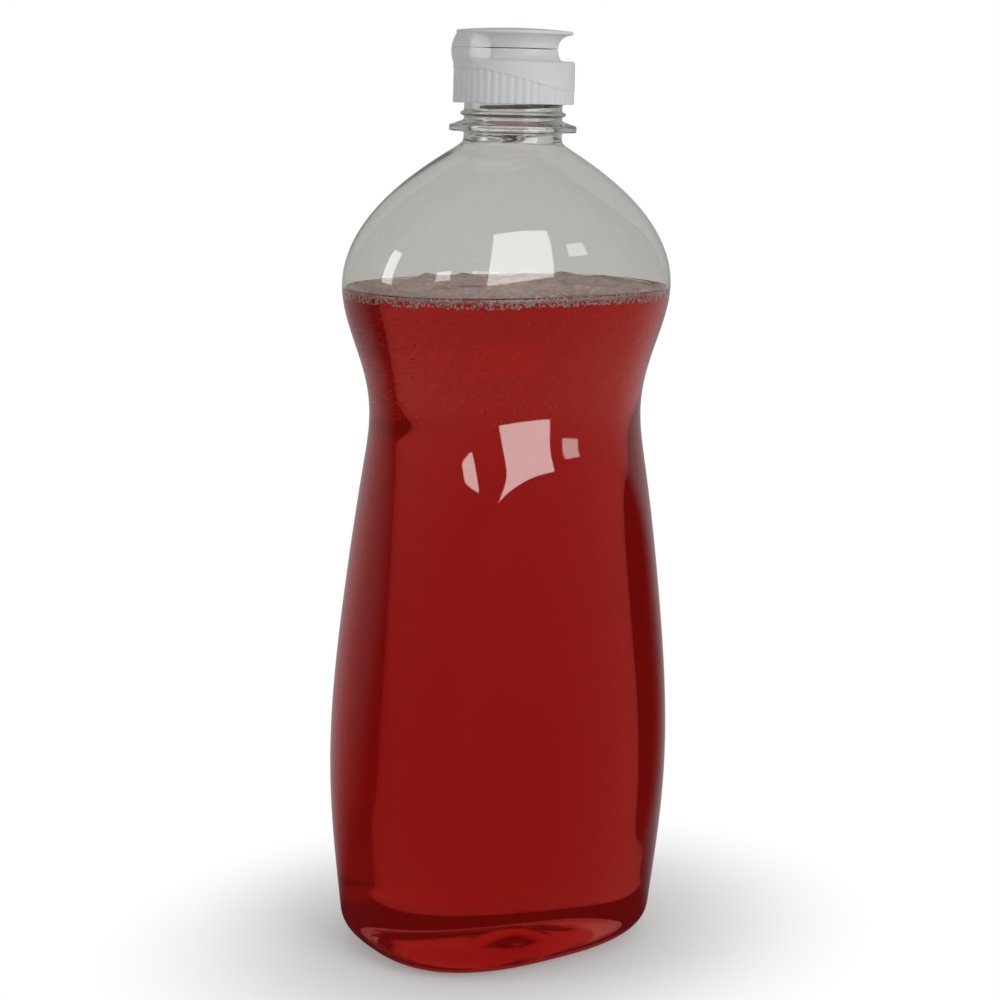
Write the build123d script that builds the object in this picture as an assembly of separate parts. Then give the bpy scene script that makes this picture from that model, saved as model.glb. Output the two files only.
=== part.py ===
# A waisted clear bottle of dish soap with a screwed-on flip-top closure.
# Millimetres, +Z up, origin at the middle of the base. The label panels face -Y and +Y.
from build123d import *
import os
from math import atan, cos, degrees, pi, sin, sqrt

# Heel: the base turns up into the wall on an elliptical arc
heel_height = 8.6
heel_reach = 9.7
heel_width = 85.4
heel_depth = 67.0

# Body: at each station the step up from the one below, and the width and depth there
hip_step = 37.4
hip_width = 91.0
hip_depth = 73.0
flank_step = 54.0
flank_width = 82.2
flank_depth = 70.0
rise_step = 32.0
rise_width = 75.6
rise_depth = 64.0
waist_step = 14.0
waist_width = 74.8
waist_depth = 56.0
scoop_step = 10.0
scoop_width = 78.6
scoop_depth = 55.4
swell_step = 11.0
swell_width = 86.2
swell_depth = 57.2
shoulder_step = 12.0
shoulder_width = 91.0
shoulder_depth = 61.0

# Dome: from the shoulder up to the root of the neck, fuller with more bow
dome_height = 36.6
dome_bow = 2.1
dome_depth_bow = 2.6

# Squareness of the oval sections: 2 is an ellipse, more is boxier
body_squareness = 2.6
waist_squareness = 2.3
shoulder_squareness = 2.4

# Walls, which thicken late in the dome, and the soap inside
body_wall = 0.5
wall_lateness = 6
soap_gap = 0.1
soap_drop = 1.4

# Label panels: single-curved faces that cut the front and back, leaning in towards the top
panel_radius = 110.0
panel_depth = 69.6
panel_lean = 2.5

# Base: a shallow hollow with a dome in the middle
hollow_radius = 19.0
hollow_rise = 2.0
punt_radius = 10.0
punt_rise = 4.5

# Neck finish, the common 28 mm size: carrying ring, bead and the length for the thread
neck_diameter = 25.4
neck_bore = 21.7
neck_foot = 1.0
ring_step = 2.8
ring_diameter = 33.0
ring_edge = 1.7
ring_slope = 1.2
bead_step = 1.0
bead_diameter = 27.4
bead_thickness = 1.3
thread_length = 11.2
lip_chamfer = 0.6

# Closure: skirt, turret with spout, and the plug that seals the bore
closure_turn = -22.0
skirt_diameter = 31.5
skirt_draft = 0.1
skirt_height = 10.8
skirt_edge_radius = 0.8
skirt_wall = 1.6
seat_gap = 0.1
plate_thickness = 1.5
turret_diameter = 22.4
turret_foot = 1.5
turret_wall = 1.4
turret_height = 2.9
deck_thickness = 1.2
spout_diameter = 8.0
spout_rise = 1.6
orifice_diameter = 4.0
plug_length = 2.6
plug_gap = 0.15

# Grip flutes on the skirt, under a border that falls towards the thumb side
flute_count = 48
flute_radius = 0.9
flute_depth = 0.3
flute_recess = 0.12
border_drop = 4.8
border_fall = 2.7

# Flip lid
parting_gap = 0.2
flange_diameter = 29.4
flange_rise = 3.5
flange_slope = 0.15
flange_edge = 0.9
crown_rise = 0.7
lid_wall = 1.5
lid_roof = 1.1
pin_gap = 0.3
pin_reach = 1.3

# Hinge at the back of the closure: a bowed back with a flat in the middle, and a bead on its axis
hinge_bulge = 0.55
hinge_flat = 0.3
hinge_bead_radius = 0.3
hinge_gap = 0.15
back_angle = 80.0

# Points round each oval section, and sections up the heel and the dome
section_points = 16
heel_sections = 4
dome_sections = 5

# Heights that follow from the steps
hip_height = heel_height + hip_step
flank_height = hip_height + flank_step
rise_height = flank_height + rise_step
waist_height = rise_height + waist_step
scoop_height = waist_height + scoop_step
swell_height = scoop_height + swell_step
shoulder_height = swell_height + shoulder_step
soap_level = shoulder_height - soap_drop
neck_root = shoulder_height + dome_height
ring_low = neck_root + ring_step
ring_top = ring_low + ring_edge
bead_low = ring_top + ring_slope + bead_step
bead_top = bead_low + bead_thickness
neck_top = bead_top + thread_length
skirt_top = neck_top + seat_gap + plate_thickness
skirt_low = skirt_top - skirt_height
parting_low = skirt_top + turret_height
parting_high = parting_low + parting_gap
flange_low = parting_high + flange_rise
flange_top = flange_low + flange_edge
lid_top = flange_top + crown_rise
spout_top = parting_low + spout_rise

# Reaches that follow: the skirt at its upper edge, the bow of the back, and the hinge's axis on its flat
skirt_upper = skirt_diameter / 2 - skirt_draft
hinge_bow = skirt_upper + hinge_bulge
hinge_reach = hinge_bow - hinge_flat

# A box that takes in the whole closure, for cutting it in two
closure_room = (2 * skirt_diameter, 2 * skirt_diameter, 4 * skirt_height)


def oval(height, width, depth, squareness):
    """A closed oval section at a height, its outline a superellipse."""
    points = []
    for i in range(section_points):
        turn = 2 * pi * i / section_points
        x = abs(cos(turn)) ** (2 / squareness) * width / 2
        y = abs(sin(turn)) ** (2 / squareness) * depth / 2
        points.append((x if cos(turn) > 0 else -x, y if sin(turn) > 0 else -y))
    return Pos(0, 0, height) * make_face(Spline(*points, periodic=True))


def heel(inset):
    """Sections of the heel's quarter arc, from the footprint to the wall."""
    sections = []
    for i in range(heel_sections + 1):
        turn = pi / 2 * (1 - i / heel_sections)
        pull = 2 * (heel_reach - (heel_reach - inset) * cos(turn))
        height = heel_height - (heel_height - inset) * sin(turn)
        sections.append(oval(height, heel_width - pull, heel_depth - pull, body_squareness))
    return sections


def flanks(inset):
    """Sections from the hip up through the waist to the shoulder."""
    stations = [
        (hip_height, hip_width, hip_depth, body_squareness),
        (flank_height, flank_width, flank_depth, body_squareness),
        (rise_height, rise_width, rise_depth, waist_squareness),
        (waist_height, waist_width, waist_depth, waist_squareness),
        (scoop_height, scoop_width, scoop_depth, waist_squareness),
        (swell_height, swell_width, swell_depth, shoulder_squareness),
        (shoulder_height, shoulder_width, shoulder_depth, shoulder_squareness),
    ]
    return [oval(height, width - 2 * inset, depth - 2 * inset, squareness)
            for height, width, depth, squareness in stations]


def dome(inset, neck_inset):
    """Sections of the dome, closer together towards the round root of the neck."""
    sections = []
    for i in range(1, dome_sections + 1):
        rise = sin(pi / 2 * i / dome_sections)
        thinning = 2 * (inset + (neck_inset - inset) * rise ** wall_lateness)
        width = neck_diameter + (shoulder_width - neck_diameter) * (1 - rise ** dome_bow)
        depth = neck_diameter + (shoulder_depth - neck_diameter) * (1 - rise ** dome_depth_bow)
        squareness = shoulder_squareness + (2 - shoulder_squareness) * rise
        height = shoulder_height + rise * dome_height
        sections.append(oval(height, width - thinning, depth - thinning, squareness))
    return sections


def body_form(inset, neck_inset):
    """The blown body, drawn in by an inset all round, with its base hollow and label panels."""
    form = loft(heel(inset) + flanks(inset) + dome(inset, neck_inset))
    form &= panel_slab(inset)
    for radius, rise in ((hollow_radius, hollow_rise), (punt_radius, punt_rise)):
        ball = (radius ** 2 + rise ** 2) / (2 * rise)
        form -= Pos(0, 0, rise - ball) * Sphere(ball + inset)
    return form


def panel_slab(inset):
    """What the label panels leave: two wide cylinders' overlap, leaning in, and all above the scoop."""
    offset = panel_radius - panel_depth / 2
    drum = Cylinder(panel_radius - inset, 3 * neck_root)
    front = Pos(0, offset, hip_height) * Rot(X=-panel_lean) * drum
    back = Pos(0, -offset, hip_height) * Rot(X=panel_lean) * drum
    on_low = (Align.CENTER, Align.CENTER, Align.MIN)
    above = Pos(0, 0, scoop_height) * Box(2 * hip_width, 2 * hip_depth, neck_root, align=on_low)
    return (front & back) + above


def turned(outline):
    """A solid of revolution about Z from an outline drawn in radius and height."""
    return revolve(Plane.XZ * make_face(outline), Axis.Z)


def neck_form():
    """The outside of the neck: plain wall, carrying ring with a sloped top, and bead."""
    wall = neck_diameter / 2
    bead = bead_diameter / 2
    foot = neck_root - neck_foot
    outline = Polyline(
        (0, foot),
        (wall + neck_foot, foot),
        (wall, neck_root + neck_foot),
        (wall, ring_low),
        (ring_diameter / 2, ring_low),
        (ring_diameter / 2, ring_top),
        (wall, ring_top + ring_slope),
        (wall, bead_low),
    )
    outline += ThreePointArc((wall, bead_low), (bead, (bead_low + bead_top) / 2), (wall, bead_top))
    outline += Polyline(
        (wall, bead_top),
        (wall, neck_top - lip_chamfer),
        (wall - lip_chamfer, neck_top),
        (0, neck_top),
        (0, foot),
    )
    return turned(outline)


def cavity_form(gap):
    """The room inside the body, drawn in by a gap and narrowing to the neck."""
    neck_inset = (neck_diameter - neck_bore + neck_foot) / 2
    return body_form(body_wall + gap, neck_inset + gap)


def make_bottle():
    """The blown bottle: thin body, thick neck, open through the bore."""
    low = neck_root - 2 * neck_foot
    on_low = (Align.CENTER, Align.CENTER, Align.MIN)
    bore = Pos(0, 0, low) * Cylinder(neck_bore / 2, 2 * (neck_top - low), align=on_low)
    return body_form(0, 0) + neck_form() - (cavity_form(0) + bore)


def make_soap():
    """The soap, filling the body to its level with a hair of room to the wall."""
    room = Pos(0, 0, soap_level / 2) * Box(2 * hip_width, 2 * hip_depth, soap_level)
    return cavity_form(soap_gap) & room


def skirt_flutes():
    """What the grip takes off the skirt: a shallow band below a tilted border, and its flutes."""
    radius = skirt_diameter / 2
    tilt = degrees(atan(border_fall / radius))
    border = Pos(0, 0, skirt_top - border_drop) * Rot(Y=tilt)
    below = border * Pos(0, 0, -skirt_height) * Box(4 * radius, 4 * radius, 2 * skirt_height)
    floor = radius - flute_recess
    band = Cylinder(2 * radius, 2 * skirt_height)
    band -= Cone(floor + skirt_draft, floor - skirt_draft, 2 * skirt_height)
    cutter = Pos(floor - flute_depth + flute_radius) * Cylinder(flute_radius, 2 * skirt_height)
    for i in range(flute_count):
        band += Rot(Z=360 * (i + 0.5) / flute_count) * cutter
    return Pos(0, 0, skirt_low) * band & below


def closure_outline():
    """Half section of the closure's base, from the skirt's rim over the deck to the plug."""
    skirt = skirt_diameter / 2
    bore = skirt - skirt_wall
    turret = turret_diameter / 2
    room = turret - turret_wall
    plug = neck_bore / 2 - plug_gap
    seat = neck_top + seat_gap
    roof = parting_low - deck_thickness
    spout = spout_diameter / 2
    orifice = orifice_diameter / 2
    edge = (skirt_upper, skirt_top - skirt_edge_radius)
    deck = (skirt_upper - skirt_edge_radius, skirt_top)
    foot = (turret + turret_foot, skirt_top)
    outline = Polyline((bore, skirt_low), (skirt, skirt_low), edge)
    outline += RadiusArc(edge, deck, -skirt_edge_radius)
    outline += Line(deck, foot)
    outline += Spline(foot, (turret, parting_low), tangents=((-1, 0), (0, 1)))
    outline += Polyline(
        (turret, parting_low),
        (spout, parting_low),
        (spout, spout_top),
        (orifice, spout_top),
        (orifice, roof),
        (room, roof),
        (room, seat - plug_length),
        (plug, seat - plug_length),
        (plug, seat),
        (bore, seat),
        (bore, skirt_low),
    )
    return outline


def lid_outline():
    """Half section of the flip lid: flared wall, thin flange, low crown, and the sealing pin."""
    turret = turret_diameter / 2
    flange = flange_diameter / 2
    cavity = turret - lid_wall
    ceiling = lid_top - lid_roof
    pin = orifice_diameter / 2 - pin_gap
    pin_low = spout_top - pin_reach
    rim = (flange + flange_edge / 3, (flange_low + flange_top) / 2)
    outline = Spline((turret, parting_high), (flange, flange_low), tangents=((0, 1), (1, flange_slope)))
    outline += ThreePointArc((flange, flange_low), rim, (flange, flange_top))
    outline += TangentArc((0, lid_top), (flange, flange_top), tangent=(1, 0))
    outline += Polyline(
        (0, lid_top),
        (0, pin_low),
        (pin, pin_low),
        (pin, ceiling),
        (cavity, ceiling),
        (cavity, parting_high),
        (turret, parting_high),
    )
    return outline


def hinge_back():
    """The bowed back that fills the groove between the skirt and the flange, with its flat."""
    inner = turret_diameter / 2 - turret_wall / 2
    low = (skirt_upper, skirt_top - skirt_edge_radius)
    high = (flange_diameter / 2, (flange_low + flange_top) / 2)
    outline = ThreePointArc(low, (hinge_bow, (parting_low + parting_high) / 2), high)
    outline += Polyline(high, (inner, high[1]), (inner, low[1]), low)
    sector = revolve(Plane.XZ * make_face(outline), Axis.Z, back_angle)
    behind = Pos(-hinge_reach - skirt_diameter, 0, skirt_top)
    behind *= Box(*closure_room)
    return Rot(Z=180 - back_angle / 2) * sector - behind


def hinge_rod(radius):
    """A round rod on the hinge's axis, as wide as the flat of the back."""
    place = Pos(-hinge_reach, 0, (parting_low + parting_high) / 2)
    return place * Rot(X=90) * Cylinder(radius, 2 * sqrt(hinge_bow ** 2 - hinge_reach ** 2))


def make_closure_base():
    """The screwed-on half of the closure, with flutes, spout and the hinge's bead."""
    below = Pos(0, 0, parting_low) * Box(*closure_room, align=(Align.CENTER, Align.CENTER, Align.MAX))
    base = turned(closure_outline()) - skirt_flutes()
    base += hinge_back() & below
    base += hinge_rod(hinge_bead_radius)
    return Rot(Z=closure_turn) * base


def make_flip_lid():
    """The lid that flips up about the hinge at the back."""
    above = Pos(0, 0, parting_high) * Box(*closure_room, align=(Align.CENTER, Align.CENTER, Align.MIN))
    lid = turned(lid_outline())
    lid += hinge_back() & above
    lid -= hinge_rod(hinge_bead_radius + hinge_gap)
    return Rot(Z=closure_turn) * lid


os.makedirs("parts", exist_ok=True)
export_step(make_bottle(), "parts/bottle.step")
export_step(make_soap(), "parts/dish_soap.step")
export_step(make_closure_base(), "parts/closure_base.step")
export_step(make_flip_lid(), "parts/flip_lid.step")
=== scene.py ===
import bpy
import bmesh
import math
import random
import numpy as np
from mathutils import Matrix, Vector, noise


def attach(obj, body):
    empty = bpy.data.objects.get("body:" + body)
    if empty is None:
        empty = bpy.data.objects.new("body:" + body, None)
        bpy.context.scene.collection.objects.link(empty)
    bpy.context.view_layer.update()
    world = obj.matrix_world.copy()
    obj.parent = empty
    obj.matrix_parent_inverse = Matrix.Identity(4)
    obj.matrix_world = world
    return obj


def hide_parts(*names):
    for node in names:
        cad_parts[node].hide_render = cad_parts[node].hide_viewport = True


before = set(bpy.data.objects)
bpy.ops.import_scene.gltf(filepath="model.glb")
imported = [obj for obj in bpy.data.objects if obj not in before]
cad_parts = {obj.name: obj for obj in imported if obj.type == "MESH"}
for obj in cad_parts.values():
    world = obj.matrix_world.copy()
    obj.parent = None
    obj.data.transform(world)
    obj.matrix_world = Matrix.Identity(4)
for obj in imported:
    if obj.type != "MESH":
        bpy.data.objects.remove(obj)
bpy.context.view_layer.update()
mm = 0.001
print("frame loaded")


def clearSelection():
    if bpy.context.object and bpy.context.object.mode != "OBJECT":
        bpy.ops.object.mode_set(mode="OBJECT")
    bpy.ops.object.select_all(action="DESELECT")


def linear(hexColour):
    channels = [int(hexColour[i:i + 2], 16) / 255 for i in (1, 3, 5)]
    return tuple(c / 12.92 if c <= 0.04045 else ((c + 0.055) / 1.055) ** 2.4 for c in channels) + (1.0,)


def addNode(tree, kind, settings=None, links=None):
    node = tree.nodes.new(kind)
    for key, value in (settings or {}).items():
        if hasattr(node, str(key)):
            setattr(node, key, value)
        else:
            node.inputs[key].default_value = value
    for key, source in (links or {}).items():
        tree.links.new(source, node.inputs[key])
    return node


def newMaterial(name):
    material = bpy.data.materials.new(name)
    material.use_nodes = True
    material.node_tree.nodes.clear()
    return material, material.node_tree


def wear(piece, material):
    piece.data.materials.clear()
    piece.data.materials.append(material)


def smoothStep(low, high, value):
    t = min(max((value - low) / (high - low), 0.0), 1.0)
    return t * t * (3 - 2 * t)


def softMin(a, b, blend):
    h = max(blend - abs(a - b), 0.0) / blend
    return min(a, b) - h * h * blend / 4


# smooth curve through a few stations, with no kink to show in the gloss
def spline(xs, ys):
    xs, ys = np.array(xs, float), np.array(ys, float)
    h = np.diff(xs)
    count = len(xs)
    a, b = np.eye(count), np.zeros(count)
    for i in range(1, count - 1):
        a[i, i - 1:i + 2] = h[i - 1], 2 * (h[i - 1] + h[i]), h[i]
        b[i] = 6 * ((ys[i + 1] - ys[i]) / h[i] - (ys[i] - ys[i - 1]) / h[i - 1])
    m = np.linalg.solve(a, b)

    def at(x):
        i = int(np.clip(np.searchsorted(xs, x) - 1, 0, count - 2))
        t, u = x - xs[i], xs[i + 1] - x
        straight = (ys[i] / h[i] - m[i] * h[i] / 6) * u + (ys[i + 1] / h[i] - m[i + 1] * h[i] / 6) * t
        return float((m[i] * u ** 3 + m[i + 1] * t ** 3) / (6 * h[i]) + straight)
    return at


# a circle extruded ring by ring, each new ring then set to its own outline
def stackRings(name, rings, segments, place, closed=False):
    clearSelection()
    bpy.ops.mesh.primitive_circle_add(vertices=segments, radius=mm)
    piece = bpy.context.object
    piece.name = piece.data.name = name
    bpy.ops.object.mode_set(mode="EDIT")
    bpy.ops.mesh.select_all(action="SELECT")
    for i, ring in enumerate(rings):
        if i:
            bpy.ops.mesh.extrude_edges_move()
        edit = bmesh.from_edit_mesh(piece.data)
        edit.verts.ensure_lookup_table()
        for k in range(segments):
            edit.verts[i * segments + k].co = Vector(place(2 * math.pi * k / segments, ring)) * mm
        bmesh.update_edit_mesh(piece.data)
    if not closed:  # both ends run in to a point
        bpy.ops.mesh.merge(type="CENTER")
        bpy.ops.mesh.select_all(action="DESELECT")
        edit = bmesh.from_edit_mesh(piece.data)
        edit.verts.ensure_lookup_table()
        for k in range(segments):
            edit.verts[k].select_set(True)
        edit.select_flush(True)
        bmesh.update_edit_mesh(piece.data)
        bpy.ops.mesh.merge(type="CENTER")
    bpy.ops.mesh.select_all(action="SELECT")
    if closed:  # the last ring lies on the first
        bpy.ops.mesh.remove_doubles(threshold=0.001 * mm)
    bpy.ops.mesh.normals_make_consistent(inside=False)
    bpy.ops.object.mode_set(mode="OBJECT")
    return piece


def smoothOver(piece, levels, angle=40):
    clearSelection()
    bpy.context.view_layer.objects.active = piece
    piece.select_set(True)
    if levels:
        modifier = piece.modifiers.new("soften", "SUBSURF")
        modifier.levels = modifier.render_levels = levels
        bpy.ops.object.modifier_apply(modifier="soften")
        bpy.ops.object.shade_smooth()
    else:
        bpy.ops.object.shade_smooth_by_angle(angle=math.radians(angle))


# the blown bottle, in mm
bottleForm = {
    "segments": 88,
    "wall": 0.5,
    "heel": {"height": 8.6, "reach": 9.7, "width": 85.4, "depth": 67.0, "squareness": 2.6},
    "stations": [  # height, width, depth and squareness of the oval
        (8.6, 85.4, 67.0, 2.6),
        (46.0, 91.0, 73.0, 2.6),
        (100.0, 82.2, 70.0, 2.6),
        (132.0, 75.6, 64.0, 2.3),
        (146.0, 74.8, 56.0, 2.3),
        (156.0, 78.6, 55.4, 2.3),
        (167.0, 86.2, 57.2, 2.4),
        (179.0, 91.0, 61.0, 2.4),
    ],
    "dome": {"top": 215.6, "bow": 2.1, "depthBow": 2.6, "neck": 25.4, "sections": 5},
    "panel": {"radius": 110.0, "depth": 69.6, "at": 46.0, "lean": 2.5, "top": 156.0, "blend": 0.5},
    "hollow": [(19.0, 2.0), (10.0, 4.5)],  # radius and rise of the base hollow and its punt
    "baseShares": (0.02, 0.1, 0.2, 0.28, 0.34, 0.4, 0.5, 0.6, 0.68, 0.74, 0.8, 0.86, 0.93),
    "step": 2.6,
}
neckForm = {
    "bore": 21.7, "top": 234.8,
    "ringDiameter": 33.0, "ringLow": 218.4, "ringEdge": 1.7, "ringSlope": 1.2,
    "beadDiameter": 27.4, "beadLow": 222.3, "beadThickness": 1.3,
    "threadFrom": 191.0, "threadHeight": 225.0, "threadPitch": 3.2, "threadTurns": 2.2,
    "threadDepth": 0.8, "threadWidth": 1.5,
}


def bodyProfile():
    stations = list(bottleForm["stations"])
    low, dome = stations[-1], bottleForm["dome"]
    for i in range(1, dome["sections"] + 1):
        rise = math.sin(math.pi / 2 * i / dome["sections"])
        stations.append((
            low[0] + rise * (dome["top"] - low[0]),
            dome["neck"] + (low[1] - dome["neck"]) * (1 - rise ** dome["bow"]),
            dome["neck"] + (low[2] - dome["neck"]) * (1 - rise ** dome["depthBow"]),
            low[3] + (2 - low[3]) * rise,
        ))
    heights = [s[0] for s in stations]
    return [spline(heights, [s[k] for s in stations]) for k in (1, 2, 3)]


widthAt, depthAt, squarenessAt = bodyProfile()


def baseRise(radius, inset):
    rise = inset
    for reach, top in bottleForm["hollow"]:
        ball = (reach ** 2 + top ** 2) / (2 * top)
        if radius < ball + inset:
            rise = max(rise, top - ball + math.sqrt((ball + inset) ** 2 - radius ** 2))
    return rise


# rings from the middle of the base up to a height
def bodyRings(inset, topHeight):
    heel = bottleForm["heel"]
    rings = []
    footWidth = heel["width"] - 2 * heel["reach"]
    footDepth = heel["depth"] - 2 * heel["reach"]
    for share in bottleForm["baseShares"]:
        squareness = 2 + (heel["squareness"] - 2) * share ** 2
        rings.append(("base", share * footWidth, share * footDepth, squareness))
    for turn in range(90, -1, -10):
        c, s = math.cos(math.radians(turn)), math.sin(math.radians(turn))
        pull = 2 * (heel["reach"] - (heel["reach"] - inset) * c)
        height = heel["height"] - (heel["height"] - inset) * s
        rings.append((height, heel["width"] - pull, heel["depth"] - pull, heel["squareness"]))
    steps = int((topHeight - heel["height"]) / bottleForm["step"])
    for i in range(1, steps + 1):
        height = heel["height"] + (topHeight - heel["height"]) * i / steps
        rings.append((height, widthAt(height) - 2 * inset, depthAt(height) - 2 * inset, squarenessAt(height)))
    return rings


def panelLimit(x, height, inset):
    panel = bottleForm["panel"]
    lean = (height - panel["at"]) * math.tan(math.radians(panel["lean"]))
    return panel["depth"] / 2 - lean - panel["radius"] + math.sqrt(panel["radius"] ** 2 - x ** 2) - inset


def ringPoint(angle, ring, inset):
    height, width, depth, squareness = ring
    c, s = math.cos(angle), math.sin(angle)
    a, b = max(width / 2, 0.05), max(depth / 2, 0.05)
    radius = (abs(c / a) ** squareness + abs(s / b) ** squareness) ** (-1 / squareness)
    x, y = radius * c, radius * s
    if height == "base":
        height = baseRise(math.hypot(x, y), inset)
    if height < bottleForm["panel"]["top"]:  # the flat-rolled label panels, front and back
        y = math.copysign(softMin(abs(y), panelLimit(x, height, inset), bottleForm["panel"]["blend"]), y)
    return x, y, height


def neckRings():
    form, dome = neckForm, bottleForm["dome"]
    wall, ring, bore = dome["neck"] / 2, form["ringDiameter"] / 2, form["bore"] / 2
    low, edge = form["ringLow"], form["ringLow"] + form["ringEdge"]
    slope = edge + form["ringSlope"]
    bead, beadHalf = form["beadDiameter"] / 2, form["beadThickness"] / 2
    rows = [  # radius and height, with each edge slightly rounded
        (wall + 0.25, dome["top"] + 0.35), (wall, dome["top"] + 1.0),
        (wall, low - 0.5), (wall + 0.12, low - 0.06), (wall + 0.6, low),
        (ring - 0.35, low), (ring - 0.04, low + 0.1), (ring, low + 0.35),
        (ring, edge - 0.35), (ring - 0.08, edge - 0.06), (ring - 0.4, edge + 0.05),
        (wall + 0.9, slope - 0.3), (wall + 0.2, slope), (wall, slope + 0.25),
        (wall, form["beadLow"] - 0.15),
    ]
    for turn in range(-80, 81, 20):
        c, s = math.cos(math.radians(turn)), math.sin(math.radians(turn))
        rows.append((wall + (bead - wall) * c, form["beadLow"] + beadHalf * (1 + s)))
    height = form["beadLow"] + form["beadThickness"] + 0.2
    while height < form["top"] - 0.8:
        rows.append((wall, height))
        height += 0.4
    rows += [(wall, form["top"] - 0.6), (wall - 0.1, form["top"] - 0.4), (wall - 0.5, form["top"] - 0.08),
             (wall - 0.8, form["top"]), (bore + 0.3, form["top"]),
             (bore + 0.05, form["top"] - 0.1), (bore, form["top"] - 0.4)]
    height = form["top"] - 2.0
    while height > dome["top"] + 1.0:
        rows.append((bore, height))
        height -= 2.0
    return rows


# how far the screw thread stands out of the neck's wall
def threadRise(angle, height):
    form = neckForm
    rise = 0.0
    start = (angle - math.radians(form["threadFrom"])) / (2 * math.pi) % 1
    for turn in range(int(form["threadTurns"]) + 1):
        along = turn + start
        if along <= form["threadTurns"]:
            off = abs(height - form["threadHeight"] - along * form["threadPitch"]) / (form["threadWidth"] / 2)
            ends = smoothStep(0, 0.06, along) * smoothStep(0, 0.06, form["threadTurns"] - along)
            rise = max(rise, form["threadDepth"] * ends * (1 - smoothStep(0.4, 1.0, off)))
    return rise


def makeBottle():
    wall, dome, shoulder = bottleForm["wall"], bottleForm["dome"], bottleForm["stations"][-1][0]
    boreInset = (dome["neck"] - neckForm["bore"]) / 2
    inner = []
    for height, width, depth, squareness in bodyRings(wall, dome["top"] - 1.0):
        extra = 0.0
        if height != "base" and height > shoulder:  # the wall thickens towards the neck
            extra = 2 * (boreInset - wall) * ((height - shoulder) / (dome["top"] - shoulder)) ** 6
        inner.append((height, width - extra, depth - extra, squareness))
    rings = [("body", r, 0.0) for r in bodyRings(0.0, dome["top"] - 0.3)]
    rings += [("neck", r, 0.0) for r in neckRings()]
    rings += [("body", r, wall) for r in reversed(inner)]

    def place(angle, entry):
        kind, ring, inset = entry
        if kind == "body":
            return ringPoint(angle, ring, inset)
        radius, height = ring
        if radius == dome["neck"] / 2 and height > neckForm["beadLow"]:
            radius += threadRise(angle, height)
        return radius * math.cos(angle), radius * math.sin(angle), height

    piece = stackRings("blownBottle", rings, bottleForm["segments"], place)
    smoothOver(piece, 1)
    return piece


# soap and its froth, in mm
soapForm = {"level": 177.6, "overlap": 0.06, "climb": 1.4}
frothForm = {
    "sunk": 0.35, "thick": 0.5, "heap": 2.0, "clump": 8.0,
    "rim": {
        "count": 1700, "radius": (0.18, 0.4), "band": (-1.5, 0.7), "lift": 1.0, "depth": 0.35, "seed": 7,
    },
    "veil": {
        "count": 7000, "radius": (0.06, 0.15), "band": (-32.0, -1.2), "lift": 0.7, "depth": 0.3, "seed": 11,
    },
}


def makeSoap():
    inset = bottleForm["wall"] - soapForm["overlap"]
    level, climb = soapForm["level"], soapForm["climb"]
    rings = bodyRings(inset, level + climb)
    width, depth, squareness = widthAt(level), depthAt(level), squarenessAt(level)
    for reach in (0.35, 0.9, 1.6, 2.6, 4.0, 6.0):  # the soap climbs a little at the wall
        height = level + climb * math.exp(-reach / 0.9)
        rings.append((height, width - 2 * (inset + reach), depth - 2 * (inset + reach), squareness))
    for share in (0.8, 0.65, 0.5, 0.35, 0.2, 0.1, 0.03):
        rings.append((level, share * width, share * depth, squareness))

    def place(angle, ring):
        return ringPoint(angle, ring, inset)

    piece = stackRings("redSoap", rings, bottleForm["segments"], place)
    smoothOver(piece, 1)
    return piece


# height of the froth's top at a place, heaped in clumps
def frothTop(x, y):
    clump = frothForm["clump"]
    heap = noise.noise(Vector((x / clump, y / clump, 3.7)))
    heap += 0.45 * noise.noise(Vector((x, y, 9.1)) * 2.6 / clump)  # smaller lumps on the clumps
    return soapForm["level"] + frothForm["thick"] + frothForm["heap"] * max(heap, -0.25)


def makeFroth():
    level = soapForm["level"]
    wall = bottleForm["wall"] + 0.9
    width, depth, squareness = widthAt(level) - 2 * wall, depthAt(level) - 2 * wall, squarenessAt(level)
    shares = [0.01] + [i / 30 for i in range(1, 30)] + [0.985, 1.0]
    rings = [("under", s) for s in shares] + [("top", s) for s in reversed(shares)]

    def place(angle, ring):
        side, share = ring
        x, y, height = ringPoint(angle, (level, share * width, share * depth, squareness), wall)
        if side == "under":
            return x, y, level - frothForm["sunk"]
        return x, y, frothTop(x, y) + 0.5 * smoothStep(0.93, 1.0, share)

    piece = stackRings("soapFroth", rings, 160, place)
    smoothOver(piece, 1)
    return piece


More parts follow.
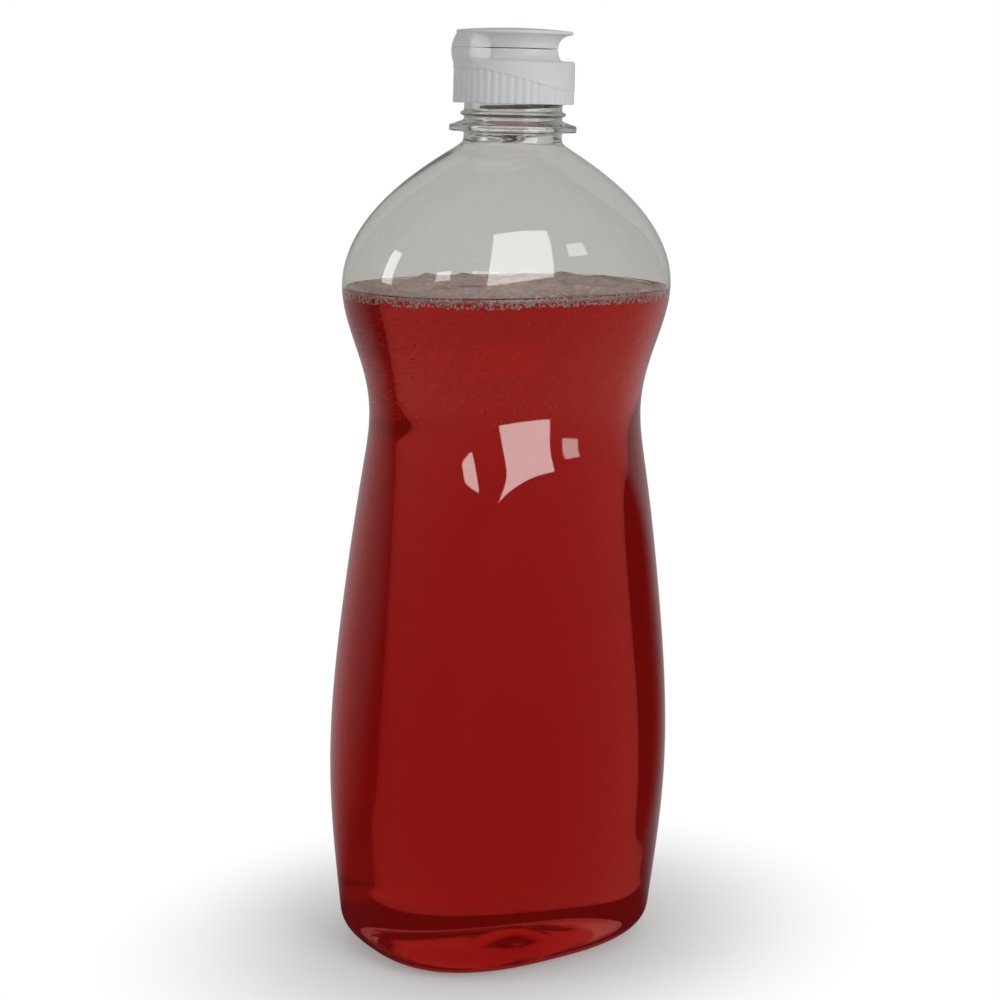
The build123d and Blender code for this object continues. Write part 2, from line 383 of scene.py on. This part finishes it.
def makeBubbles(name, form):
    dice = random.Random(form["seed"])
    clearSelection()
    bpy.ops.mesh.primitive_ico_sphere_add(subdivisions=1, radius=1)  # few faces, as there are thousands
    ball = bpy.context.object
    points = np.array([v.co for v in ball.data.vertices])
    faces = np.array([p.vertices for p in ball.data.polygons])
    level, (low, high) = soapForm["level"], form["band"]
    allPoints, allFaces = [], []
    for i in range(form["count"]):
        radius = dice.uniform(*form["radius"]) * (1.3 if dice.random() < 0.06 else 1.0)
        angle = dice.uniform(0, 2 * math.pi)
        wave = 0.5 * noise.noise(Vector((5 * math.cos(angle), 4 * math.sin(angle), 1.3)))
        height = level + wave + low + (high - low) * dice.random() ** form["lift"]
        oval = (height, widthAt(height), depthAt(height), squarenessAt(height))
        x, y, height = ringPoint(angle, oval, 0)
        pull = 1 - (bottleForm["wall"] + radius + 0.04 + form["depth"] * dice.random()) / math.hypot(x, y)
        allFaces.append(faces + len(points) * i)
        allPoints.append((points * radius + np.array((x * pull, y * pull, height))) * mm)
    mesh = bpy.data.meshes.new(name)
    mesh.from_pydata(np.vstack(allPoints).tolist(), [], np.vstack(allFaces).tolist())
    ball.data = mesh
    ball.name = name
    smoothOver(ball, 0, 60)
    return ball


# the closure's two halves, in mm, with the hinge at local -X
closureForm = {
    "turn": -22.0, "segments": 384,
    "skirt": 15.75, "draft": 0.1, "low": 225.6, "top": 236.4, "edge": 0.8, "wall": 1.6,
    "turret": 11.2, "foot": 1.5, "room": 9.8, "roof": 238.1,
    "partingLow": 239.3, "partingHigh": 239.5,
    "spout": 4.0, "orifice": 2.0, "spoutTop": 240.9,
    "plug": 10.7, "plugLow": 232.3, "seat": 234.9,
    "flutes": 48, "fluteRadius": 0.9, "fluteDepth": 0.22, "recess": 0.12,
    "border": 231.6, "fall": 2.7, "borderSoft": 0.12,
    "flange": 14.7, "flangeLow": 243.0, "flangeTop": 243.9, "crown": 244.6,
    "lidRoom": 9.7, "ceiling": 243.5, "pin": 1.7, "pinLow": 239.6,
    "bow": 16.2, "flat": 15.88, "backHalf": 33.0, "backBlend": 15.0, "hingeGap": 0.05,
}


def bowReach(height):
    form = closureForm
    low = (form["top"] - form["edge"], form["skirt"] - form["draft"])
    mid = ((form["partingLow"] + form["partingHigh"]) / 2, form["bow"])
    high = ((form["flangeLow"] + form["flangeTop"]) / 2, form["flange"])
    reach = 0.0
    for a, b, c in ((low, mid, high), (mid, low, high), (high, low, mid)):
        reach += a[1] * (height - b[0]) * (height - c[0]) / ((a[0] - b[0]) * (a[0] - c[0]))
    return reach


def fluteCut(angle, height):
    form = closureForm
    border = form["border"] - form["fall"] * math.sin(math.pi / 2 * math.cos(angle))
    below = smoothStep(border + form["borderSoft"], border - form["borderSoft"], height)
    pitch = 2 * math.pi / form["flutes"]
    off = ((angle / pitch) % 1 - 0.5) * pitch * form["skirt"]
    arc = form["fluteRadius"] - math.sqrt(max(form["fluteRadius"] ** 2 - off ** 2, 0.0))
    return below * (form["recess"] + max(form["fluteDepth"] - arc, 0.0))


def backShare(angle):
    form = closureForm
    off = abs((math.degrees(angle) % 360) - 180)
    return 1 - smoothStep(form["backHalf"], form["backHalf"] + form["backBlend"], off)


# each row: kind, plain radius and height, and how far up the hinge's back it stands, from 0 to 1
def closurePlace(angle, row):
    kind, radius, height, climb = row
    form = closureForm
    if kind == "skirt":
        radius -= fluteCut(angle, height)
    if kind in ("baseBack", "lidBack"):
        share = backShare(angle)
        middle = (form["partingLow"] + form["partingHigh"]) / 2
        if kind == "baseBack":
            start = form["top"] - form["edge"]
            backHeight = start + climb * (middle - form["hingeGap"] / 2 - start)
        else:
            end = (form["flangeLow"] + form["flangeTop"]) / 2
            start = middle + form["hingeGap"] / 2
            backHeight = start + climb * (end - start)
        backRadius = bowReach(backHeight)
        if math.cos(angle) < -0.1:
            backRadius = min(backRadius, -form["flat"] / math.cos(angle))
        radius += share * (backRadius - radius)
        height += share * (backHeight - height)
    return radius * math.cos(angle), radius * math.sin(angle), height


def makeClosureBase():
    f = closureForm
    bore, upper = f["skirt"] - f["wall"], f["skirt"] - f["draft"]
    rows = [("plain", bore + 0.2, f["low"], 0), ("plain", f["skirt"] - 0.6, f["low"], 0)]
    rows += [("skirt", f["skirt"] - 0.15, f["low"], 0), ("skirt", f["skirt"] - 0.04, f["low"] + 0.05, 0)]
    tall = f["top"] - f["edge"] - f["low"]
    for i in range(1, 40):
        rows.append(("skirt", f["skirt"] - f["draft"] * i / 40, f["low"] + tall * i / 40, 0))
    outer = []
    for turn in range(0, 91, 15):  # rounded upper edge of the skirt
        c, s = math.cos(math.radians(turn)), math.sin(math.radians(turn))
        outer.append((upper - f["edge"] * (1 - c), f["top"] - f["edge"] * (1 - s)))
    outer.append((f["turret"] + f["foot"] + 0.4, f["top"]))
    for turn in range(0, 91, 10):  # hollow foot of the turret
        c, s = math.cos(math.radians(turn)), math.sin(math.radians(turn))
        outer.append((f["turret"] + f["foot"] * (1 - s), f["top"] + (f["partingLow"] - f["top"]) * (1 - c)))
    outer[-1] = (f["turret"], f["partingLow"] - 0.08)
    outer.append((f["turret"] - 0.08, f["partingLow"]))
    for i, (radius, height) in enumerate(outer):
        rows.append(("baseBack", radius, height, i / (len(outer) - 1)))
    rows += [("plain", radius, height, 0) for radius, height in (
        (f["turret"] - 0.9, f["partingLow"]),
        (f["spout"] + 0.2, f["partingLow"]), (f["spout"], f["partingLow"] + 0.2),
        (f["spout"], f["spoutTop"] - 0.2), (f["spout"] - 0.2, f["spoutTop"]),
        (f["orifice"] + 0.2, f["spoutTop"]), (f["orifice"], f["spoutTop"] - 0.2),
        (f["orifice"], f["roof"] + 0.1), (f["orifice"] + 0.1, f["roof"]),
        (f["room"] - 0.1, f["roof"]), (f["room"], f["roof"] - 0.1),
        (f["room"], f["plugLow"] + 0.15), (f["room"] + 0.15, f["plugLow"]),
        (f["plug"] - 0.15, f["plugLow"]), (f["plug"], f["plugLow"] + 0.15),
        (f["plug"], f["seat"] - 0.1), (f["plug"] + 0.1, f["seat"]),
        (bore - 0.1, f["seat"]), (bore, f["seat"] - 0.1),
        (bore, f["low"] + 0.2), (bore + 0.2, f["low"]),
    )]
    return stackRings("fluteSkirt", rows, f["segments"], closurePlace, closed=True)


def makeFlipLid():
    f = closureForm
    rows = [("plain", radius, height, 0) for radius, height in (
        (0.05, f["pinLow"]), (f["pin"] - 0.2, f["pinLow"]), (f["pin"], f["pinLow"] + 0.2),
        (f["pin"], f["ceiling"] - 0.2), (f["pin"] + 0.2, f["ceiling"]),
        (f["lidRoom"] - 0.2, f["ceiling"]), (f["lidRoom"], f["ceiling"] - 0.2),
        (f["lidRoom"], f["partingHigh"] + 0.15), (f["lidRoom"] + 0.15, f["partingHigh"]),
        (f["turret"] - 0.9, f["partingHigh"]),
    )]
    outer = [(f["turret"] - 0.08, f["partingHigh"]), (f["turret"], f["partingHigh"] + 0.08)]
    for turn in range(10, 91, 8):  # flared wall up to the flange
        c, s = math.cos(math.radians(turn)), math.sin(math.radians(turn))
        outer.append((f["turret"] + (f["flange"] - f["turret"]) * (1 - c),
                      f["partingHigh"] + (f["flangeLow"] - f["partingHigh"]) * s ** 0.9))
    for i, (radius, height) in enumerate(outer):
        rows.append(("lidBack", radius, height, i / (len(outer) - 1)))
    half = (f["flangeTop"] - f["flangeLow"]) / 2
    for turn in range(-60, 91, 15):  # rounded rim of the flange
        c, s = math.cos(math.radians(turn)), math.sin(math.radians(turn))
        rows.append(("plain", f["flange"] + 0.3 * c, f["flangeLow"] + half * (1 + s), 0))
    for share in (0.97, 0.93, 0.85, 0.7, 0.5, 0.3, 0.12, 0.01):
        height = f["flangeTop"] + (f["crown"] - f["flangeTop"]) * (1 - share ** 2)
        rows.append(("plain", f["flange"] * share, height, 0))
    return stackRings("flipLid", rows, f["segments"], closurePlace)


# the closure is turned on the neck, and its pieces stay at the origin
def turnClosure(piece):
    clearSelection()
    bpy.context.view_layer.objects.active = piece
    piece.select_set(True)
    piece.rotation_euler = (0, 0, math.radians(closureForm["turn"]))
    bpy.ops.object.transform_apply(location=False, rotation=True, scale=False)
    smoothOver(piece, 0)


def clearPet():  # clear PET, blown: glassy, faint grey, with the slow waviness of a blown wall
    material, tree = newMaterial("clear_blown_pet")
    place = addNode(tree, "ShaderNodeTexCoord").outputs["Object"]
    waves = addNode(tree, "ShaderNodeTexNoise", {"Scale": 1 / (24 * mm), "Detail": 1.0}, {"Vector": place})
    wave = waves.outputs["Fac"]
    bump = addNode(tree, "ShaderNodeBump", {"Strength": 0.1, "Distance": 0.8 * mm}, {"Height": wave})
    haze = addNode(tree, "ShaderNodeMapRange", {"To Min": 0.005, "To Max": 0.04}, {"Value": wave})
    shader = addNode(tree, "ShaderNodeBsdfPrincipled", {
        "Base Color": linear("#f4f4f1"), "IOR": 1.57, "Transmission Weight": 1.0,
    }, {"Roughness": haze.outputs["Result"], "Normal": bump.outputs["Normal"]})
    addNode(tree, "ShaderNodeOutputMaterial", None, {"Surface": shader.outputs["BSDF"]})
    return material


def redDetergent():  # dyed liquid, a little cloudy, the light it scatters painted in as a red glow: deep red where the light's way through it is long
    material, tree = newMaterial("red_detergent")
    place = addNode(tree, "ShaderNodeTexCoord").outputs["Object"]
    streaks = addNode(tree, "ShaderNodeTexNoise", {"Scale": 1 / (30 * mm), "Detail": 2.0}, {"Vector": place})
    tone = addNode(tree, "ShaderNodeValToRGB", None, {"Fac": streaks.outputs["Fac"]})
    tone.color_ramp.elements[0].color = linear("#fff2f0")
    tone.color_ramp.elements[1].color = linear("#ffe6e2")
    shader = addNode(tree, "ShaderNodeBsdfPrincipled", {
        "IOR": 1.36, "Roughness": 0.0, "Transmission Weight": 1.0,
        "Specular IOR Level": 0.0,  # it touches the wall, so it has no mirror image of its own
    }, {"Base Color": tone.outputs["Color"]})
    absorb = addNode(tree, "ShaderNodeVolumeAbsorption", {"Color": (0.77, 0.05, 0.02, 1.0), "Density": 60.0})
    # a faint painted glow stands in for the light that a cloudy liquid scatters
    paintedGlow = addNode(tree, "ShaderNodeEmission", {"Color": (1.0, 0.03, 0.02, 1.0), "Strength": 2.0})
    body = addNode(tree, "ShaderNodeAddShader", None, {
        0: absorb.outputs["Volume"], 1: paintedGlow.outputs["Emission"],
    })
    addNode(tree, "ShaderNodeOutputMaterial", None, {
        "Surface": shader.outputs["BSDF"], "Volume": body.outputs["Shader"],
    })
    return material


def paleFroth():  # thin soap froth: pinkish, glowing through, with cells of one to two millimetres
    material, tree = newMaterial("soap_froth")
    place = addNode(tree, "ShaderNodeTexCoord").outputs["Object"]
    cells = addNode(tree, "ShaderNodeTexVoronoi", {"Scale": 1 / (1.6 * mm)}, {"Vector": place})
    cell = cells.outputs["Distance"]
    patches = addNode(tree, "ShaderNodeTexNoise", {"Scale": 1 / (6 * mm), "Detail": 3.0}, {"Vector": place})
    spread = addNode(tree, "ShaderNodeMath", {"operation": "MULTIPLY"}, {0: cell, 1: patches.outputs["Fac"]})
    tone = addNode(tree, "ShaderNodeValToRGB", None, {"Fac": spread.outputs["Value"]})
    pale, pink = tone.color_ramp.elements
    pale.position, pale.color = 0.06, linear("#fff1ec")
    pink.position, pink.color = 0.4, linear("#e8b9ae")
    bump = addNode(tree, "ShaderNodeBump", {"Strength": 0.2, "Distance": 0.3 * mm}, {"Height": cell})
    shader = addNode(tree, "ShaderNodeBsdfPrincipled", {
        "IOR": 1.33, "Roughness": 0.35,
        "Subsurface Weight": 1.0, "Subsurface Radius": (1.0, 0.85, 0.8), "Subsurface Scale": 4.0 * mm,
    }, {"Base Color": tone.outputs["Color"], "Normal": bump.outputs["Normal"]})
    addNode(tree, "ShaderNodeOutputMaterial", None, {"Surface": shader.outputs["BSDF"]})
    return material


def bubbleFilm(name, clear):  # soap bubbles at the wall: pale specks, the fine ones letting the red through
    material, tree = newMaterial(name)
    place = addNode(tree, "ShaderNodeTexCoord").outputs["Object"]
    spots = addNode(tree, "ShaderNodeTexNoise", {"Scale": 1 / (0.9 * mm), "Detail": 1.0}, {"Vector": place})
    tone = addNode(tree, "ShaderNodeValToRGB", None, {"Fac": spots.outputs["Fac"]})
    dull, bright = tone.color_ramp.elements
    dull.position, dull.color = 0.35, linear("#faf4f2")
    bright.position, bright.color = 0.55, linear("#ffffff")
    shader = addNode(tree, "ShaderNodeBsdfPrincipled", {
        "IOR": 1.33 - 0.2 * clear, "Roughness": 0.12, "Transmission Weight": clear,
    }, {"Base Color": tone.outputs["Color"]})
    addNode(tree, "ShaderNodeOutputMaterial", None, {"Surface": shader.outputs["BSDF"]})
    return material


def whitePp():  # white polypropylene, moulded: soft satin sheen, slightly translucent
    material, tree = newMaterial("white_polypropylene")
    place = addNode(tree, "ShaderNodeTexCoord").outputs["Object"]
    grains = addNode(tree, "ShaderNodeTexNoise", {"Scale": 1 / (0.5 * mm), "Detail": 2.0}, {"Vector": place})
    grain = grains.outputs["Fac"]
    clouds = addNode(tree, "ShaderNodeTexNoise", {"Scale": 1 / (9 * mm), "Detail": 1.0}, {"Vector": place})
    tone = addNode(tree, "ShaderNodeValToRGB", None, {"Fac": clouds.outputs["Fac"]})
    tone.color_ramp.elements[0].color = linear("#d6d7d9")
    tone.color_ramp.elements[1].color = linear("#e2e3e5")
    sheen = addNode(tree, "ShaderNodeMapRange", {"To Min": 0.4, "To Max": 0.52}, {"Value": grain})
    bump = addNode(tree, "ShaderNodeBump", {"Strength": 0.05, "Distance": 0.05 * mm}, {"Height": grain})
    shader = addNode(tree, "ShaderNodeBsdfPrincipled", {
        "IOR": 1.49, "Subsurface Weight": 0.12,
        "Subsurface Radius": (1.0, 1.0, 1.0), "Subsurface Scale": 0.8 * mm,
    }, {
        "Base Color": tone.outputs["Color"], "Roughness": sheen.outputs["Result"],
        "Normal": bump.outputs["Normal"],
    })
    addNode(tree, "ShaderNodeOutputMaterial", None, {"Surface": shader.outputs["BSDF"]})
    return material


bottle = makeBottle()
wear(bottle, clearPet())
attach(bottle, "bottle")
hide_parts("bottle")
print("bottle blown:", len(bottle.data.polygons), "faces")

soap = makeSoap()
wear(soap, redDetergent())
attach(soap, "bottle")
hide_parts("dish_soap")
print("soap filled:", len(soap.data.polygons), "faces")

for froth, finish in (
    (makeFroth(), paleFroth()),
    (makeBubbles("rimBubbles", frothForm["rim"]), bubbleFilm("soap_bubbles", 0.0)),
    (makeBubbles("wallBubbles", frothForm["veil"]), bubbleFilm("fine_bubbles", 0.75)),
):
    wear(froth, finish)
    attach(froth, "bottle")
    print("froth laid:", froth.name, len(froth.data.polygons), "faces")

closurePlastic = whitePp()
for half, body, node in (
    (makeClosureBase(), "closure", "closure_base"),
    (makeFlipLid(), "lid", "flip_lid"),
):
    turnClosure(half)
    wear(half, closurePlastic)
    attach(half, body)
    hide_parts(node)
    print("closure moulded:", half.name, len(half.data.polygons), "faces")


# stage: floor, world, lamps and camera, in metres and degrees
studio = {
    "turn": 33.76,  # the camera stands this far round from the front panel, towards -X
    "distance": 0.55, "height": 0.2305, "pitch": 11.23, "roll": 1.3,
    "lens": 75.44, "shift": -0.00435,
    # each lamp: left and right end (azimuth to the camera's right, distance), low and high edge, radiance
    "lamps": [
        ("keySoftbox", (27, 0.9), (61, 1.35), 0.19, 0.96, 3.5),
        ("stripNear", (-14, 1.0), (-1, 1.0), 0.36, 0.54, 3.4),
        ("stripLeft", (-81, 1.0), (-66, 1.0), 0.26, 0.86, 3.6),
        ("lampRight", (67, 1.0), (73, 1.0), 0.39, 0.52, 2.4),
    ],
    # the room's brightness, between two values of how far a direction points along the view
    "seenThrough": {"reach": (0.15, 0.7), "level": (0.54, 0.66)},
    "seenTurned": {"reach": (-0.3, 0.3), "level": (0.55, 0.9)},
    "mirrored": {"reach": (0.1, 0.85), "level": (0.02, 0.38)},
    "fill": {"reach": (0.0, 0.7), "level": (0.3, 0.6)},  # on matt surfaces
    "nearPasses": 5.5,  # up to so many passes through a surface, a mirror image is the near wall's
    "lampPasses": 6.5,  # past so many, it is a lamp's twin in the back wall
    "floorRadius": 1.4, "footprint": (22, 28, 0),
    "shadowAndHalo": {"reach": (0.7, 2.6), "level": (0.2, 1.0)},  # in footprints from the middle: near the bottle the lit floor shows with its real shadow, and being greyer than the white glow further out it also paints a soft grey halo
    "bounces": 40,  # light turns many times in the full bottle
}
turn = math.radians(studio["turn"])
viewFlat = Vector((math.sin(turn), math.cos(turn), 0))
viewRight = Vector((math.cos(turn), -math.sin(turn), 0))


def addCamera():
    pitch, roll = math.radians(studio["pitch"]), math.radians(studio["roll"])
    forward = viewFlat * math.cos(pitch) - Vector((0, 0, math.sin(pitch)))
    up = viewFlat * math.sin(pitch) + Vector((0, 0, math.cos(pitch)))
    right = viewRight * math.cos(roll) + up * math.sin(roll)
    up = up * math.cos(roll) - viewRight * math.sin(roll)
    data = bpy.data.cameras.new("photoCamera")
    data.lens, data.sensor_width = studio["lens"], 36
    data.shift_x = studio["shift"]
    data.clip_start = 0.01
    camera = bpy.data.objects.new("photoCamera", data)
    bpy.context.scene.collection.objects.link(camera)
    place = -viewFlat * studio["distance"] + Vector((0, 0, studio["height"]))
    camera.matrix_world = Matrix((
        (right.x, up.x, -forward.x, place.x),
        (right.y, up.y, -forward.y, place.y),
        (right.z, up.z, -forward.z, place.z),
        (0, 0, 0, 1),
    ))
    bpy.context.scene.camera = camera


# no lamp is seen straight through the bottle, nor twinned by its back wall
def shadeLamp(tree):
    tree.nodes.clear()
    path = addNode(tree, "ShaderNodeLightPath").outputs
    passes = path["Transmission Depth"]
    turns = addNode(tree, "ShaderNodeMath", {"operation": "ADD"}, {
        0: path["Glossy Depth"], 1: path["Diffuse Depth"],
    })
    straight = addNode(tree, "ShaderNodeMath", {
        "operation": "MULTIPLY_ADD", 1: -99.0,  # one turn outweighs every pass
    }, {0: turns.outputs["Value"], 2: passes})
    outside = addNode(tree, "ShaderNodeMath", {"operation": "LESS_THAN", 1: 0.5}, {
        0: straight.outputs["Value"],
    })
    early = addNode(tree, "ShaderNodeMath", {"operation": "LESS_THAN", 1: studio["lampPasses"]}, {0: passes})
    shown = addNode(tree, "ShaderNodeMath", {"operation": "MULTIPLY"}, {
        0: outside.outputs["Value"], 1: early.outputs["Value"],
    })
    glow = addNode(tree, "ShaderNodeEmission", None, {"Strength": shown.outputs["Value"]})
    addNode(tree, "ShaderNodeOutputLight", None, {"Surface": glow.outputs["Emission"]})


def addLamps():
    def end(azimuth, distance):
        a = math.radians(azimuth)
        return (viewRight * math.sin(a) - viewFlat * math.cos(a)) * distance
    for name, left, right, low, high, radiance in studio["lamps"]:
        left, right = end(*left), end(*right)
        span = right - left
        outward = span.cross(Vector((0, 0, 1)))
        if outward.dot(left + right) < 0:
            outward = -outward
        data = bpy.data.lights.new(name, "AREA")
        data.shape = "RECTANGLE"
        data.size, data.size_y = span.length, high - low
        data.energy = radiance * data.size * data.size_y * math.pi
        data.use_nodes = True
        shadeLamp(data.node_tree)
        lamp = bpy.data.objects.new(name, data)
        bpy.context.scene.collection.objects.link(lamp)
        lamp.location = (left + right) / 2 + Vector((0, 0, (low + high) / 2))
        lamp.rotation_euler = outward.to_track_quat("Z", "Y").to_euler()


def rampSettings(reach, level):
    return {
        "interpolation_type": "SMOOTHSTEP",
        "From Min": reach[0], "From Max": reach[1], "To Min": level[0], "To Max": level[1],
    }


# how bright the room is in a direction: seen through the bottle, after a turn inside it, and in its gloss
def roomLevel(tree, path, direction):
    along = addNode(tree, "ShaderNodeVectorMath", {"operation": "DOT_PRODUCT", 1: viewFlat}, {0: direction})
    aside = addNode(tree, "ShaderNodeMath", {"operation": "ABSOLUTE"}, {0: along.outputs["Value"]})
    through, turned, mirrored = [
        addNode(tree, "ShaderNodeMapRange", rampSettings(**studio[name]), {
            "Value": source.outputs["Value"],
        }).outputs["Result"]
        for source, name in ((aside, "seenThrough"), (along, "seenTurned"), (along, "mirrored"))
    ]
    near = addNode(tree, "ShaderNodeMath", {"operation": "LESS_THAN", 1: studio["nearPasses"]}, {
        0: path["Transmission Depth"],
    })
    turns = addNode(tree, "ShaderNodeMath", {"operation": "GREATER_THAN", 1: 0.5}, {0: path["Glossy Depth"]})
    inside = addNode(tree, "ShaderNodeMix", None, {0: near.outputs["Value"], 2: turned, 3: mirrored})
    seen = addNode(tree, "ShaderNodeMix", None, {0: turns.outputs["Value"], 2: through, 3: inside.outputs[0]})
    room = addNode(tree, "ShaderNodeMix", None, {
        0: path["Is Transmission Ray"], 2: mirrored, 3: seen.outputs[0],
    })
    return room.outputs[0]


def addWorld():
    world = bpy.data.worlds.new("paleStudio")
    bpy.context.scene.world = world
    world.use_nodes = True
    tree = world.node_tree
    tree.nodes.clear()
    path = addNode(tree, "ShaderNodeLightPath").outputs
    direction = addNode(tree, "ShaderNodeTexCoord").outputs["Generated"]
    room = roomLevel(tree, path, direction)
    along = addNode(tree, "ShaderNodeVectorMath", {"operation": "DOT_PRODUCT", 1: viewFlat}, {0: direction})
    matt = addNode(tree, "ShaderNodeMapRange", rampSettings(**studio["fill"]), {
        "Value": along.outputs["Value"],
    })
    fill = addNode(tree, "ShaderNodeMix", None, {
        0: path["Is Diffuse Ray"], 2: room, 3: matt.outputs["Result"],
    })
    level = addNode(tree, "ShaderNodeMath", {"operation": "MAXIMUM"}, {
        0: fill.outputs[0], 1: path["Is Camera Ray"],
    })
    back = addNode(tree, "ShaderNodeBackground", {"Color": (1, 1, 1, 1)}, {
        "Strength": level.outputs["Value"],
    })
    addNode(tree, "ShaderNodeOutputWorld", None, {"Surface": back.outputs["Background"]})


def addFloor():
    clearSelection()
    bpy.ops.mesh.primitive_circle_add(vertices=96, radius=studio["floorRadius"], fill_type="NGON")
    floor = bpy.context.object
    floor.name = "paleFloor"
    material, tree = newMaterial("pale_floor")
    path = addNode(tree, "ShaderNodeLightPath").outputs
    place = addNode(tree, "ShaderNodeTexCoord").outputs["Object"]
    outward = addNode(tree, "ShaderNodeVectorMath", {"operation": "NORMALIZE"}, {0: place})
    room = roomLevel(tree, path, outward.outputs["Vector"])
    foot = addNode(tree, "ShaderNodeVectorMath", {
        "operation": "MULTIPLY", 1: studio["footprint"],
    }, {0: place})
    away = addNode(tree, "ShaderNodeVectorMath", {"operation": "LENGTH"}, {0: foot.outputs["Vector"]})
    # near the footprint the lit floor shows with the bottle's real shadow, further out an even white glow;
    # the lit floor is greyer than the glow, so this paints a soft grey halo round the bottle
    far = addNode(tree, "ShaderNodeMapRange", rampSettings(**studio["shadowAndHalo"]), {
        "Value": away.outputs["Value"],
    })
    fade = addNode(tree, "ShaderNodeMath", {"operation": "MULTIPLY"}, {
        0: far.outputs["Result"], 1: path["Is Camera Ray"],
    })
    matt = addNode(tree, "ShaderNodeBsdfDiffuse", {"Color": linear("#f4f4f4")})
    white = addNode(tree, "ShaderNodeEmission", {"Strength": 1.0})
    plain = addNode(tree, "ShaderNodeMixShader", None, {
        0: fade.outputs["Value"], 1: matt.outputs["BSDF"], 2: white.outputs["Emission"],
    })
    # in gloss and through the bottle the floor is as bright as the room
    glow = addNode(tree, "ShaderNodeEmission", None, {"Strength": room})
    mix = addNode(tree, "ShaderNodeMixShader", None, {
        0: path["Is Glossy Ray"], 1: plain.outputs["Shader"], 2: glow.outputs["Emission"],
    })
    addNode(tree, "ShaderNodeOutputMaterial", None, {"Surface": mix.outputs["Shader"]})
    wear(floor, material)


addCamera()
addLamps()
addWorld()
addFloor()
bpy.context.scene.view_settings.view_transform = "Standard"
for kind in ("max_bounces", "transmission_bounces", "glossy_bounces"):
    setattr(bpy.context.scene.cycles, kind, studio["bounces"])
print("studio set")
